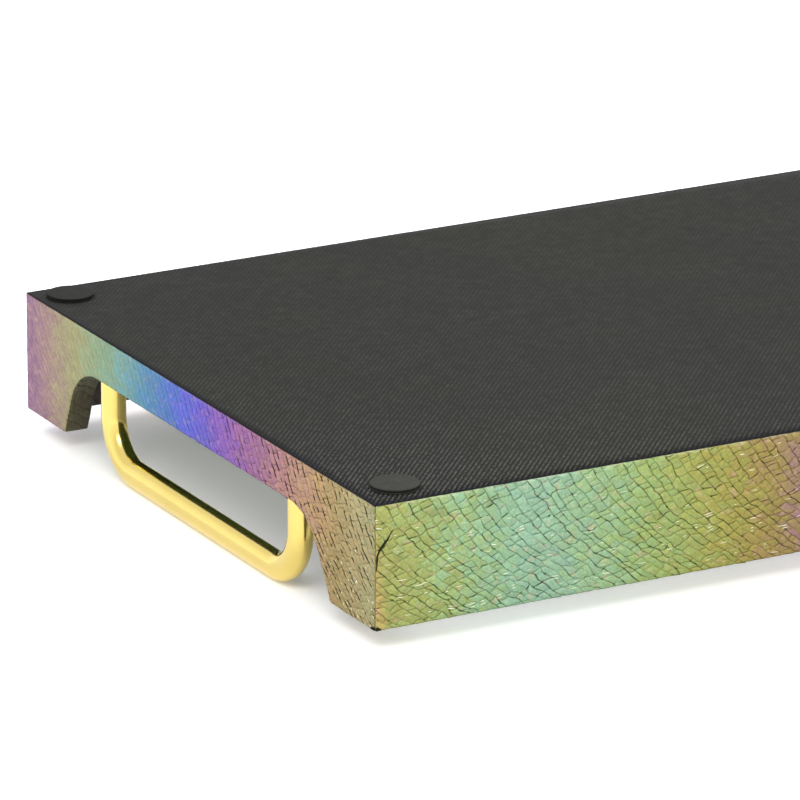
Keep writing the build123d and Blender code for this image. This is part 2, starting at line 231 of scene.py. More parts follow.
class Sheet:
    """Collects regions of cells into one mesh."""

    def __init__(self, name, offset=0.0):
        self.name = name
        self.offset = offset
        self.v, self.f = [], []
        self.crack, self.band, self.su, self.sv, self.stain, self.glint, self.lip = [], [], [], [], [], [], []
        self.cell, self.mat = [], []
        self.inside = False

    def _add(self, xyz, faces, flip, U, band, crack, glint, stain, cell, lip=None):
        off = len(self.v)
        self.v += np.asarray(xyz).tolist()
        self.f += [tuple(off + a for a in (f[::-1] if flip else f)) for f in faces]
        self.crack += list(crack)
        self.glint += list(glint)
        self.stain += list(stain)
        self.band += np.asarray(band).tolist()
        self.su += (U[:, 0] + self.offset).tolist()
        self.sv += U[:, 1].tolist()
        self.cell += list(cell)
        self.lip += list(lip) if lip is not None else [0.0] * len(xyz)
        # faces inside the tray take material slot 1, a darker painted-shade copy of the leather
        self.mat += [1 if self.inside else 0] * len(faces)

    def region(self, net, snap, place, band, seed, depth=0.24, edge_strength=0.4, stains=(), strokes=(), fade=None, dome=0.07, wide=1.0, rim_light=0.0):
        uv, st, cells = net
        rng = np.random.default_rng(seed)
        s_uv, at_edge = snap(uv)
        gone = np.asarray(at_edge, int) == 2
        fd = np.ones(len(s_uv))
        if fade is not None:
            fd = fade(s_uv[:, 0], s_uv[:, 1])
            st = st * fd
            edge_strength = edge_strength * (0.4 + 0.6 * fd)
        st = np.where(np.asarray(at_edge, int) > 0, edge_strength, st)
        # points on the hand opening's edge get a dark crack value: partly the foil's dark raw edge, partly painted
        # shade on the fold
        st = np.where(gone, 0.95, st)
        U, H, C, E = [], [], [], []   # sheet coordinates, height, crack, lit lip
        index = {}
        faces, fcell = [], []
        middles = []

        def ring0(i):
            if i not in index:
                index[i] = len(U)
                U.append(s_uv[i])
                H.append(-depth * min(1.0, 0.16 * fd[i] + 0.95 * st[i]))
                C.append(st[i])
                E.append(0.0)
            return index[i]

        for loop, n_low, n_side in cells:
            ids = np.array(loop)
            if gone[ids].all():
                continue
            P = s_uv[ids]
            keep = np.hypot(*(P - np.roll(P, 1, 0)).T) > 0.03
            ids, P = ids[keep], P[keep]
            if len(ids) < 3:
                continue
            x, y = P[:, 0], P[:, 1]
            cross = x * np.roll(y, -1) - np.roll(x, -1) * y
            area = cross.sum() / 2
            if abs(area) < 0.02:
                continue
            if abs(area) > 1.0:
                c = np.array([((x + np.roll(x, -1)) * cross).sum(), ((y + np.roll(y, -1)) * cross).sum()]) / (6 * area)
            else:
                c = P.mean(0)
            if area < 0:
                ids, P = ids[::-1], P[::-1]
            n = len(ids)
            d = np.maximum(np.hypot(*(P - c).T), 1e-4)
            s = st[ids]
            w = (0.055 + 0.125 * np.clip(s, 0, 1.3)) * wide
            # painted highlight: cell edges that face up the sheet get a lit value, stored in the lip attribute
            facing = np.clip(((P - c) / d[:, None]) @ np.array([-0.42, -0.91]), 0, 1)
            t1 = np.minimum(w / d, 0.34)
            t2 = np.minimum((w + 0.36) / d, 0.62)
            P1, P2 = P + (c - P) * t1[:, None], P + (c - P) * t2[:, None]
            fc = float(fd[ids].mean())
            tilt = rng.normal(0, 0.022, 2) * (0.3 + 0.7 * fc)
            lift = rng.normal(0, 0.016) * (0.3 + 0.7 * fc)
            r0 = [ring0(i) for i in ids]
            b1 = len(U)
            for k in range(n):
                U.append(P1[k]); H.append(-0.04 + lift * 0.5 + float((P1[k] - c) @ tilt)); C.append(min(0.8, 0.42 * s[k])); E.append(0.3 * fc * float(facing[k]))
            b2 = len(U)
            for k in range(n):
                U.append(P2[k]); H.append(0.035 + lift + float((P2[k] - c) @ tilt)); C.append(0.0); E.append(float(facing[k]) * fc * min(1.0, 0.35 + s[k]))
            cc = len(U)
            U.append(c); H.append(dome * (0.4 + 0.6 * fc) * min(1.0, abs(area) / 8) + lift); C.append(0.0); E.append(0.0)
            cell_value = rng.random()
            if abs(area) > 5:
                middles.append(c)
            for k in range(n):
                j = (k + 1) % n
                faces.append((r0[k], r0[j], b1 + j, b1 + k))
                faces.append((b1 + k, b1 + j, b2 + j, b2 + k))
                faces.append((b2 + k, b2 + j, cc))
                fcell += [cell_value] * 3
        U, H = np.array(U), np.array(H)
        H = H + 0.05 * (vnoise(U[:, 0] / 1.1, U[:, 1] / 1.1, seed + 5) - 0.5)
        xyz, flip = place(U[:, 0], U[:, 1], H)
        n = len(U)
        blot = np.zeros(n)
        for su, sv, ru, rv, amount in stains:
            blot = np.maximum(blot, amount * np.exp(-((U[:, 0] - su) / ru) ** 2 - ((U[:, 1] - sv) / rv) ** 2))
        shine = np.zeros(n)
        if rim_light > 0:                 # painted highlight: a pale sheen painted along the fold over the top edge
            shine = rim_light * np.clip(1.25 - U[:, 1] / 0.7, 0, 1) * np.clip(2.2 * vnoise(U[:, 0] / 2.3, 9.1, seed + 7) - 0.25, 0, 1)
        self._add(xyz, faces, flip, U, band(U[:, 0], U[:, 1]), C, shine, blot, fcell, E)
        # raised creases in the foil, short and straight, coloured with a painted highlight (the glint attribute)
        if len(strokes):
            share, length, lean, spread, where = strokes
            middles = np.array(middles)
            ok = where(middles[:, 0], middles[:, 1]) * share > rng.random(len(middles))
            SU, SH, SF = [], [], []
            for c in middles[ok]:
                twin = 2 if rng.random() < 0.14 else 1
                c = c + rng.uniform(-1.1, 1.1, 2)
                ang = math.radians(lean + rng.normal(0, spread))
                du_, dn_ = np.array([math.cos(ang), -math.sin(ang)]), np.array([math.sin(ang), math.cos(ang)])
                for k in range(twin):
                    L = length * rng.uniform(0.25, 1.15)
                    W = rng.uniform(0.075, 0.15)
                    m = c + dn_ * k * rng.uniform(0.85, 1.3)
                    base = len(SU)
                    for j in range(5):
                        f = (j / 4 - 0.5) * L
                        wj = W * (1.0 if 0 < j < 4 else 0.25)
                        for a, hh in ((-1, 0.06), (0, 0.21), (1, 0.06)):
                            SU.append(m + du_ * f + dn_ * wj * a)
                            SH.append(hh if 0 < j < 4 else 0.06)
                    for j in range(4):
                        for a in range(2):
                            q = base + j * 3 + a
                            SF.append((q, q + 3, q + 4, q + 1))
            if SU:
                SU, SH = np.array(SU), np.array(SH)
                xyz, fl = place(SU[:, 0], SU[:, 1], SH)
                sample = np.array([xyz[i] for i in SF[0]])
                self._add(xyz, SF, not flip, SU, band(SU[:, 0], SU[:, 1]), np.zeros(len(SU)), np.ones(len(SU)), np.zeros(len(SU)), [0.5] * len(SF))

    def slit(self, pts, widths, place, band, value=1.3, height=0.19):
        """a dark opening in the foil along a line, as a shallow ribbon with raised lips."""
        pts = np.array(pts, float)
        seg = np.gradient(pts, axis=0)
        nrm = np.stack([-seg[:, 1], seg[:, 0]], 1)
        nrm /= np.maximum(np.linalg.norm(nrm, axis=1, keepdims=True), 1e-9)
        U, H, F = [], [], []
        for p, n_, w in zip(pts, nrm, widths):
            for a, hh in ((-1, -0.05), (-0.6, height), (0.6, height), (1, -0.05)):
                U.append(p + n_ * w * a)
                H.append(hh)
        for k in range(len(pts) - 1):
            for a in range(3):
                q = k * 4 + a
                F.append((q, q + 4, q + 5, q + 1))
        U, H = np.array(U), np.array(H)
        xyz, flip = place(U[:, 0], U[:, 1], H)
        self._add(xyz, F, flip, U, band(U[:, 0], U[:, 1]), np.full(len(U), value), np.zeros(len(U)), np.zeros(len(U)), [0.5] * len(F))

    def strip(self, a, b, band_value, crack=1.0):
        """a plain strip of faces between two rows of points, for cut edges."""
        n = len(a)
        F = [(k, k + 1, n + k + 1, n + k) for k in range(n - 1)]
        U = np.zeros((2 * n, 2))
        U[:, 0] = np.concatenate([np.arange(n), np.arange(n)])
        self._add(np.concatenate([a, b]), F, False, U, np.full(2 * n, band_value), [crack] * (2 * n), [0.0] * (2 * n), [0.0] * (2 * n), [0.5] * len(F))

    def build(self):
        ob = new_mesh(self.name, self.v, self.f, True,
                        {"crack": self.crack, "band": self.band, "glint": self.glint, "stain": self.stain, "su": self.su, "sv": self.sv, "lip": self.lip},
                        {"cell": self.cell})
        ob.data.polygons.foreach_set("material_index", np.array(self.mat, dtype=np.int32))
        return ob


# ------------------------------------------------------------------ folded edges
def soften_box(p, h, lo, hi, r):
    q = np.minimum(np.maximum(p, lo + r), hi - r)
    d = p - q
    n = d / np.maximum(np.linalg.norm(d, axis=1, keepdims=True), 1e-9)
    return q + n * (r + h[:, None])


def _corner(spec):
    rim, top, r = spec
    slant = math.atan2(NOTCH_Z - RIM, rim - top)                       # from the horizontal
    tan = r / math.tan((math.pi - slant) / 2)
    return rim, (rim - top) / (NOTCH_Z - RIM), r, top - tan, NOTCH_Z - r, math.pi / 2 - slant


CORNER = {-1: _corner(NOTCH_FRONT), 1: _corner(NOTCH_BACK)}


def notch_line():
    """the opening's edge from the rim on -Y, over the top, to the rim on +Y."""
    sides = {}
    for s, (rim, k, r, cy, cz, phi0) in CORNER.items():
        side = []
        drop = 20.0
        end = np.array([rim + k * drop, RIM - drop])
        start_arc = np.array([cy + r * math.cos(phi0), cz + r * math.sin(phi0)])
        for f in np.linspace(0, 1, 30)[:-1]:
            side.append(end + (start_arc - end) * f)
        for a in np.linspace(phi0, math.pi / 2, 26):
            side.append(np.array([cy + r * math.cos(a), cz + r * math.sin(a)]))
        sides[s] = np.array(side) * [s, 1]
    ca, cb = CORNER[-1][3], CORNER[1][3]
    top = np.stack([np.linspace(-ca, cb, 60)[1:-1], np.full(58, NOTCH_Z)], 1)
    return np.concatenate([sides[-1], top, sides[1][::-1]])


NL = notch_line()                                                      # from -Y to +Y


def notch_near(y, z):
    """signed distance to the opening (positive in the wall) and the nearest point of its edge."""
    P = np.stack([y, z], 1)
    A, B = NL[:-1], NL[1:]
    AB = B - A
    L2 = (AB ** 2).sum(1)
    best = np.full(len(P), 1e9)
    near = np.zeros((len(P), 2))
    for s in range(0, len(P), 20000):
        Q = P[s:s + 20000]
        t = ((Q[:, None, :] - A) * AB).sum(2) / L2
        t = np.clip(t, 0, 1)
        N = A + AB * t[..., None]
        D = np.hypot(Q[:, None, 0] - N[..., 0], Q[:, None, 1] - N[..., 1])
        k = D.argmin(1)
        near[s:s + 20000] = N[np.arange(len(Q)), k]
        best[s:s + 20000] = D[np.arange(len(Q)), k]
    ya = np.abs(y)
    inside = np.zeros(len(y), bool)
    for s, (rim, k, r, cy, cz, phi0) in CORNER.items():
        in_arc = (ya > cy) & (z > cz + r * math.sin(phi0)) & (np.hypot(ya - cy, z - cz) > r)
        inside |= (y * s >= 0) & (z < NOTCH_Z) & (ya < rim - k * (z - RIM)) & ~in_arc
    return np.where(inside, -best, best), near


def soften_end(p, h, r=R_EDGE):
    """rounds the folded edges of an end wall, the hand opening's included. p holds x from the outer face inwards."""
    y, z = p[:, 1], p[:, 2]
    qx = np.clip(p[:, 0], r, WALL - r)
    qy = np.clip(y, -HY + r, HY - r)
    qz = np.maximum(z, RIM + r)
    sd, near = notch_near(qy, qz)
    g = np.stack([qy, qz], 1) - near
    gl = np.linalg.norm(g, axis=1)
    # into the wall, even for points on the edge itself
    probe, near2 = notch_near(qy + 0.0, qz + 0.35)
    g2 = np.stack([qy, qz + 0.35], 1) - near2
    g2 = np.where(probe[:, None] < 0, -g2, g2)
    g = np.where((gl > 0.02)[:, None], np.where(sd[:, None] < 0, -g, g), g2)
    g = g / np.maximum(np.linalg.norm(g, axis=1, keepdims=True), 1e-9)
    push = np.maximum(r - sd, 0)
    qy, qz = qy + g[:, 0] * push, qz + g[:, 1] * push
    low = qz < RIM + r
    qz = np.where(low, RIM + r, qz)
    q = np.stack([qx, qy, qz], 1)
    d = p - q
    n = d / np.maximum(np.linalg.norm(d, axis=1, keepdims=True), 1e-9)
    return q + n * (r + h[:, None])


# ------------------------------------------------------------------ wall wraps
TOP = BTOP + 0.18                     # the sheet's cut edge, just under the black cover's face
H_OUT = TOP - RIM
H_IN = WELL + 2.2 - RIM


def long_wrap(name, side, seed):
    sheet = Sheet(name, seed * 7.3)
    lo = np.array([-HX, -HY, RIM])
    hi = np.array([HX, -HY + WALL, 1e4])
    m = np.array([1, -side * -1.0, 1]) if side > 0 else np.array([1, 1, 1])

    def out(p):                       # built for the -Y wall, turned half round Z for the +Y one
        return p if side < 0 else p * [-1, -1, 1]

    # outer face
    def snap(uv):
        u, v = np.clip(uv[:, 0], -HX, HX), np.clip(uv[:, 1], 0, H_OUT)
        return np.stack([u, v], 1), (u != uv[:, 0]) | (v != uv[:, 1])

    def place(u, v, h):
        p = np.stack([u, np.full_like(u, -HY), TOP - v], 1)
        ragged = np.where(v < 0.01, 0.16 * (vnoise(u / 1.7, 3.3, seed + 9) - 0.5), 0)
        p[:, 2] += ragged
        return out(soften_box(p, h, lo, hi, R_EDGE)), True

    net = crack_net(-HX, HX, 0, H_OUT, 4.7, 4.2, seed, step=1.1, long_gain=0.94, short_gain=1.2)
    if side < 0:
        stains = [(26 - HX, 6, 4.5, 2.6, 0.8), (123 - HX, 24, 4.2, 1.7, 0.9), (114 - HX, 32, 3.4, 1.4, 0.9), (50 - HX, 6, 4.5, 2.2, 0.7), (12 - HX, 21, 4.0, 2.0, 0.5),
                  (97 - HX, 17, 3.0, 1.6, 0.45), (150 - HX, 12, 6, 2.6, 0.45), (205 - HX, 30, 7, 2.6, 0.5), (290 - HX, 12, 5, 2.2, 0.6), (371 - HX, 28, 5, 2.0, 0.6)]
    else:
        stains = [(x - HX, y, 4.5, 2.0, 0.6) for x, y in ((31, 20), (88, 9), (160, 35), (233, 14), (300, 30), (352, 8), (410, 22))]
    outer_band = lambda u, v: (u + HX - 0.12 * (v - 25)) / (2 * HX)
    sheet.region(net, snap, place, outer_band, seed + 1, stains=stains, rim_light=0.22,
                 strokes=(0.13, 3.5, 4.0, 8.0, lambda u, v: np.where((v > 2.5) & (v < 48), 1.0, 0.0)))
    sheet.slit([(7.4 - HX, 10.4), (6.3 - HX, 12.0), (5.2 - HX, 13.8), (3.4 - HX, 15.8), (1.7 - HX, 17.8), (0.9 - HX, 19.6), (0.7 - HX, 22.0), (0.7 - HX, 23.8), (0.45 - HX, 26.0)],
               [0.10, 0.26, 0.52, 0.68, 0.62, 0.50, 0.50, 0.32, 0.12], place, outer_band)
    sheet.slit([(0.1 - HX, H_OUT - 0.9), (0.8 - HX, H_OUT - 0.7), (1.6 - HX, H_OUT - 0.5), (2.6 - HX, H_OUT - 0.4)], [0.6, 1.0, 0.8, 0.3], place, outer_band)
    for x, y, w in ((75.0, 16.0, 0.33), (147.0, 20.0, 0.30), (127.0, 21.0, 0.28)):
        sheet.slit([(x - w * 1.5 - HX, y), (x - w * 0.5 - HX, y + 0.05), (x + w * 0.5 - HX, y), (x + w * 1.5 - HX, y - 0.05)], [w * 0.4, w, w, w * 0.4], place, outer_band)

    # rim
    def snap_r(uv):
        v = np.clip(uv[:, 1], 0, WALL)
        lim = HX - v
        u = np.clip(uv[:, 0], -lim, lim)
        return np.stack([u, v], 1), (u != uv[:, 0]) | (v != uv[:, 1])

    def place_r(u, v, h):
        p = np.stack([u, -HY + v, np.full_like(u, RIM)], 1)
        return out(soften_box(p, h, lo, hi, R_EDGE)), True

    net = crack_net(-HX, HX, 0, WALL, 5.6, 5.2, seed + 20, step=1.8)
    sheet.region(net, snap_r, place_r, lambda u, v: (u + HX) / (2 * HX), seed + 2)

    # inner face
    sheet.inside = True

    def snap_i(uv):
        lim = HX - WALL
        u, v = np.clip(uv[:, 0], -lim, lim), np.clip(uv[:, 1], 0, H_IN)
        return np.stack([u, v], 1), (u != uv[:, 0]) | (v != uv[:, 1])

    def place_i(u, v, h):
        p = np.stack([u, np.full_like(u, -HY + WALL), RIM + v], 1)
        return out(soften_box(p, h, lo, hi, R_EDGE)), True

    net = crack_net(-HX, HX, 0, H_IN, 7.6, 7.0, seed + 40, step=2.5)
    sheet.region(net, snap_i, place_i, lambda u, v: (u + HX + 0.12 * v) / (2 * HX), seed + 3,
                 strokes=(0.08, 2.7, 15.0, 6.0, lambda u, v: 1.0 + 0 * u))

    # the cut edge at the top, turned in under the black cover
    sheet.inside = False
    xs = np.linspace(-HX, HX, 420)
    z = TOP + 0.16 * (vnoise(xs / 1.7, 3.3, seed + 9) - 0.5)
    a = np.stack([np.clip(xs, -HX + 0.25, HX - 0.25), np.full_like(xs, -HY + 0.02), z], 1)
    b = np.stack([np.clip(xs, -HX + 0.75, HX - 0.75), np.full_like(xs, -HY + 0.75), z], 1)
    sheet.strip(out(a), out(b), 0.3)
    ob = sheet.build()
    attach(ob, "root")
    return ob


def end_wrap(name, side, seed):
    sheet = Sheet(name, seed * 7.3)

    def out(p):                       # p: x from the outer face inwards, built for the -X wall
        q = p.copy()
        q[:, 0] = -HX + p[:, 0]
        return q if side < 0 else q * [-1, -1, 1]

    # sheet coordinates run as seen from outside: u from the +Y end to the -Y end
    def off_notch(y, z, edge):
        sd, near = notch_near(y, z)
        hit = sd < 0
        return np.where(hit, near[:, 0], y), np.where(hit, np.maximum(near[:, 1], RIM), z), np.where(hit, 2, edge)

    def snap(uv):
        u, v = np.clip(uv[:, 0], -HY, HY), np.clip(uv[:, 1], 0, H_OUT)
        y, z, edge = off_notch(-u, TOP - v, (u != uv[:, 0]) | (v != uv[:, 1]))
        return np.stack([-y, TOP - z], 1), edge

    def place(u, v, h):
        p = np.stack([np.zeros_like(u), -u, TOP - v], 1)
        ragged = np.where(v < 0.01, 0.16 * (vnoise(u / 1.7, 5.3, seed + 9) - 0.5), 0)
        p[:, 2] += ragged
        return out(soften_end(p, h)), True

    faint = 0.08 if side < 0 else 0.5
    end_stains = ((HY - 40, 38, 17, 15, 0.6), (HY - 12, 30, 7, 18, 0.3), (HY - 22, 14, 9, 6, 0.3))
    net = crack_net(-HY, HY, 0, H_OUT, 4.1, 3.5, seed, t=0.27, step=0.95, long_gain=1.15, short_gain=0.8, broken=0.8, rough=0.85)
    sheet.region(net, snap, place, lambda u, v: (u + HY - 0.10 * (v - 12)) / (2 * HY), seed + 1, edge_strength=0.8, wide=1.7, rim_light=0.08, stains=end_stains,
                 fade=lambda u, v: faint + (1 - faint) * np.clip((u + HY - 118) / 100, 0, 1) ** 1.1,
                 strokes=(0.3, 1.3, -55.0, 16.0, lambda u, v: np.clip((u + HY - 238) / 30, 0, 1) * np.clip((v - 20) / 12, 0, 1) + 0.02 * (u + HY > 130)))

    if side < 0:                          # the same chip in the foil, on this side of the corner
        sheet.slit([(HY - 0.1, H_OUT - 1.2), (HY - 1.2, H_OUT - 0.9), (HY - 2.6, H_OUT - 0.6), (HY - 4.0, H_OUT - 0.4)], [0.7, 1.0, 0.8, 0.25],
                   place, lambda u, v: (u + HY) / (2 * HY))

    # rim of the two feet
    for foot in (-1, 1):
        rim_half = CORNER[-foot][0]

        def snap_r(uv, rim_half=rim_half):
            v = np.clip(uv[:, 1], 0, WALL)
            u = np.clip(uv[:, 0], rim_half, HY - v)
            return np.stack([u, v], 1), (u != uv[:, 0]) | (v != uv[:, 1])

        def place_r(u, v, h, foot=foot):
            p = np.stack([v, -foot * u, np.full_like(u, RIM)], 1)
            return out(soften_end(p, h)), foot > 0

        net = crack_net(rim_half, HY, 0, WALL, 5.1, 4.0, seed + 20 + foot, step=1.3)
        sheet.region(net, snap_r, place_r, lambda u, v, foot=foot: (foot * u + HY) / (2 * HY), seed + 2 + foot)

    # inner face
    sheet.inside = True

    def snap_i(uv):
        lim = HY - WALL
        u, v = np.clip(uv[:, 0], -lim, lim), np.clip(uv[:, 1], 0, H_IN)
        y, z, edge = off_notch(-u, RIM + v, (u != uv[:, 0]) | (v != uv[:, 1]))
        return np.stack([-y, z - RIM], 1), edge

    def place_i(u, v, h):
        p = np.stack([np.full_like(u, WALL), -u, RIM + v], 1)
        return out(soften_end(p, h)), True

    net = crack_net(-HY, HY, 0, H_IN, 5.3, 4.6, seed + 40, step=1.6)
    sheet.region(net, snap_i, place_i, lambda u, v: (u + HY) / (2 * HY), seed + 3)
    sheet.inside = False

    xs = np.linspace(-HY, HY, 300)
    z = TOP + 0.16 * (vnoise(xs / 1.7, 5.3, seed + 9) - 0.5)
    a = np.stack([np.full_like(xs, 0.02), np.clip(-xs, -HY + 0.25, HY - 0.25), z], 1)
    b = np.stack([np.full_like(xs, 0.75), np.clip(-xs, -HY + 0.75, HY - 0.75), z], 1)
    sheet.strip(out(a), out(b), 0.3)
    ob = sheet.build()
    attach(ob, "root")
    return ob


def lining(name, side, seed):
    """the strip inside the hand opening."""
    sheet = Sheet(name, seed * 7.3)
    keep = NL[NL[:, 1] >= RIM - 1e-6]
    line = np.concatenate([[[-NOTCH_FRONT[0], RIM]], keep, [[NOTCH_BACK[0], RIM]]])
    seg = np.hypot(*np.diff(line, axis=0).T)
    ok = np.concatenate([[True], seg > 1e-6])
    line = line[ok]
    s = np.concatenate([[0], np.cumsum(np.hypot(*np.diff(line, axis=0).T))])
    total = float(s[-1])

    def out(p):
        q = p.copy()
        q[:, 0] = -HX + p[:, 0]
        return q if side < 0 else q * [-1, -1, 1]

    def snap(uv):
        u, v = np.clip(uv[:, 0], 0, total), np.clip(uv[:, 1], 0, WALL)
        return np.stack([u, v], 1), (u != uv[:, 0]) | (v != uv[:, 1])

    def place(u, v, h):
        y, z = np.interp(u, s, line[:, 0]), np.interp(u, s, line[:, 1])
        p = np.stack([v, y, z], 1)
        return out(soften_end(p, h)), False

    net = crack_net(0, total, 0, WALL, 5.2, 4.2, seed, step=1.1, long_gain=0.17, short_gain=0.13)
    sheet.region(net, snap, place, lambda u, v: (HY - np.interp(u, s, line[:, 0])) / (2 * HY), seed + 1)
    ob = sheet.build()
    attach(ob, "root")
    return ob


def well_floor(name, seed):
    sheet = Sheet(name, seed * 7.3)
    lx, ly = float(ih[0]), float(ih[1])

    def snap(uv):
        u, v = np.clip(uv[:, 0], -lx, lx), np.clip(uv[:, 1], -ly, ly)
        return np.stack([u, v], 1), (u != uv[:, 0]) | (v != uv[:, 1])

    def place(u, v, h):
        p = np.stack([u, v, np.full_like(u, WELL)], 1)
        lo, hi = np.array([-lx, -ly, WELL]), np.array([lx, ly, 1e4])
        return soften_box(p, h, lo, hi, 0.5), True

    net = crack_net(-lx, lx, -ly, ly, 7.4, 6.8, seed, step=2.4, rough=0.6)
    sheet.region(net, snap, place, lambda u, v: (u + HX + 0.22 * v) / (2 * HX), seed + 1,
                 strokes=(0.06, 2.7, 15.0, 8.0, lambda u, v: 1.0 + 0 * u))
    ob = sheet.build()
    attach(ob, "root")
    return ob


# ------------------------------------------------------------------ black ribbed cover of the underside
RIB, RIB_ANGLE = 1.785, math.radians(47.8)          # pitch, and the ribs' direction from +X


def underside(name):
    lx, ly = float(sh[0]), float(sh[1])
    du = np.array([math.cos(RIB_ANGLE), math.sin(RIB_ANGLE)])          # along a rib
    dn = np.array([-math.sin(RIB_ANGLE), math.cos(RIB_ANGLE)])         # across
    cs = [np.array([sx * lx, sy * ly]) @ dn for sx in (-1, 1) for sy in (-1, 1)]
    tmin, tmax = min(cs), max(cs)
    prof = [(0.0, 0.0), (0.16, 0.55), (0.34, 0.95), (0.5, 1.0), (0.66, 0.95), (0.84, 0.55)]
    ts = []
    k = math.floor(tmin / RIB)
    while k * RIB < tmax:
        for f, hgt in prof:
            ts.append(((k + f) * RIB, hgt))
        k += 1
    ts = [x for x in ts if tmin + 0.02 < x[0] < tmax - 0.02]
    for c in cs:
        f = (c / RIB) % 1.0
        hgt = float(np.interp(f, [p[0] for p in prof] + [1.0], [p[1] for p in prof] + [0.0]))
        ts.append((min(max(c, tmin + 0.01), tmax - 0.01), hgt))
    ts = sorted(set(ts))
    n = 52
    V, ridge, detail_fade = [], [], []
    for t, hgt in ts:
        base = dn * t
        los, his = [], []
        for ax, lim in ((0, lx), (1, ly)):
            a, b = (-lim - base[ax]) / du[ax], (lim - base[ax]) / du[ax]
            los.append(min(a, b)); his.append(max(a, b))
        s0, s1 = max(los), min(his)
        s = s0 + (s1 - s0) * np.linspace(0, 1, n)
        P = base[None, :] + s[:, None] * du[None, :]
        edge = np.minimum(lx - np.abs(P[:, 0]), ly - np.abs(P[:, 1]))
        wob = 0.10 * (vnoise(P[:, 0] / 7.0, P[:, 1] / 7.0, 77) - 0.5)
        Q = P + dn[None, :] * (wob * np.clip(edge / 0.8, 0, 1))[:, None]
        amp = 0.085 * (0.82 + 0.36 * vnoise(P[:, 0] / 3.1, P[:, 1] / 3.1, 78))
        z = UNDER - 0.13 + amp * hgt - 0.22 * np.clip(1 - edge / 0.35, 0, 1) ** 2 \
            + 0.05 * (vnoise(P[:, 0] / 38.0, P[:, 1] / 38.0, 79) - 0.5)
        V += np.column_stack([Q, z]).tolist()
        ridge += [hgt] * n
        # the ribs' painted crest highlight is strongest at one corner and fades across the sheet (crisp attribute)
        away = ((P[:, 0] + lx) * 0.48 + (P[:, 1] + ly) * 0.88) / (0.96 * lx + 1.76 * ly)
        detail_fade += (0.12 + 1.62 * np.exp(-away / 0.15)).tolist()
    F = []
    for r in range(len(ts) - 1):
        for c in range(n - 1):
            a = r * n + c
            F.append((a, a + n, a + n + 1, a + 1))
    # turned-down edge
    top_count = len(V)
    rows = len(ts)
    loop = [r * n for r in range(rows)] + [(rows - 1) * n + c for c in range(1, n)] + [r * n + n - 1 for r in range(rows - 2, -1, -1)] + [c for c in range(n - 2, 0, -1)]
    for i in loop:
        x, y, z = V[i]
        V.append([x, y, BTOP + 0.02])
        ridge.append(0.0)
        detail_fade.append(1.0)
    m = len(loop)
    for i in range(m):
        j = (i + 1) % m
        F.append((loop[i], top_count + i, top_count + j, loop[j]))
    ob = new_mesh(name, V, [f[::-1] for f in F], True, {"ridge": ridge, "crisp": detail_fade})
    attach(ob, "root")
    return ob


# ------------------------------------------------------------------ pads
def pad(name, node, seed):
    lo, hi = corners(node)
    cx, cy = (lo[0] + hi[0]) / 2, (lo[1] + hi[1]) / 2
    R = (hi[0] - lo[0]) / 2
    z0, z1 = lo[2] - 0.1, hi[2]
    prof = [(R + 0.24, z0), (R + 0.30, z0 + 0.22), (R + 0.22, z0 + 0.44), (R - 0.08, z0 + 0.48), (R - 0.16, z0 + 0.58), (R - 0.06, z0 + 0.72),
            (R, z0 + 0.86), (R - 0.03, z1 - 0.45), (R - 0.10, z1 - 0.24), (R - 0.27, z1 - 0.07),
            (R - 0.55, z1 - 0.0), (R - 1.1, z1 + 0.0), (R * 0.8, z1 - 0.03), (R * 0.6, z1 - 0.05), (R * 0.4, z1 - 0.05), (R * 0.2, z1 - 0.05)]
    n = 96
    V, F = [], []
    for r, z in prof:
        a = np.linspace(0, 2 * np.pi, n, endpoint=False)
        rr = r + 0.06 * (vnoise(np.cos(a) * 3 + 9, np.sin(a) * 3 + 9, seed) - 0.5)
        zz = z + 0.035 * (vnoise(np.cos(a) * r / 2 + 20, np.sin(a) * r / 2 + 20, seed + 1) - 0.5)
        V += np.stack([cx + rr * np.cos(a), cy + rr * np.sin(a), zz], 1).tolist()
    for k in range(len(prof) - 1):
        for i in range(n):
            j = (i + 1) % n
            F.append((k * n + i, k * n + j, (k + 1) * n + j, (k + 1) * n + i))
    c = len(V)
    V.append([cx, cy, z1 - 0.05])
    b = len(V)
    V.append([cx, cy, z0])
    last = (len(prof) - 1) * n
    for i in range(n):
        j = (i + 1) % n
        F.append((last + i, last + j, c))
        F.append((j, i, b))
    ob = new_mesh(name, V, F)
    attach(ob, "root")
    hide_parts(node)
    return ob


# ------------------------------------------------------------------ handles
LEG = 160.8 / 2


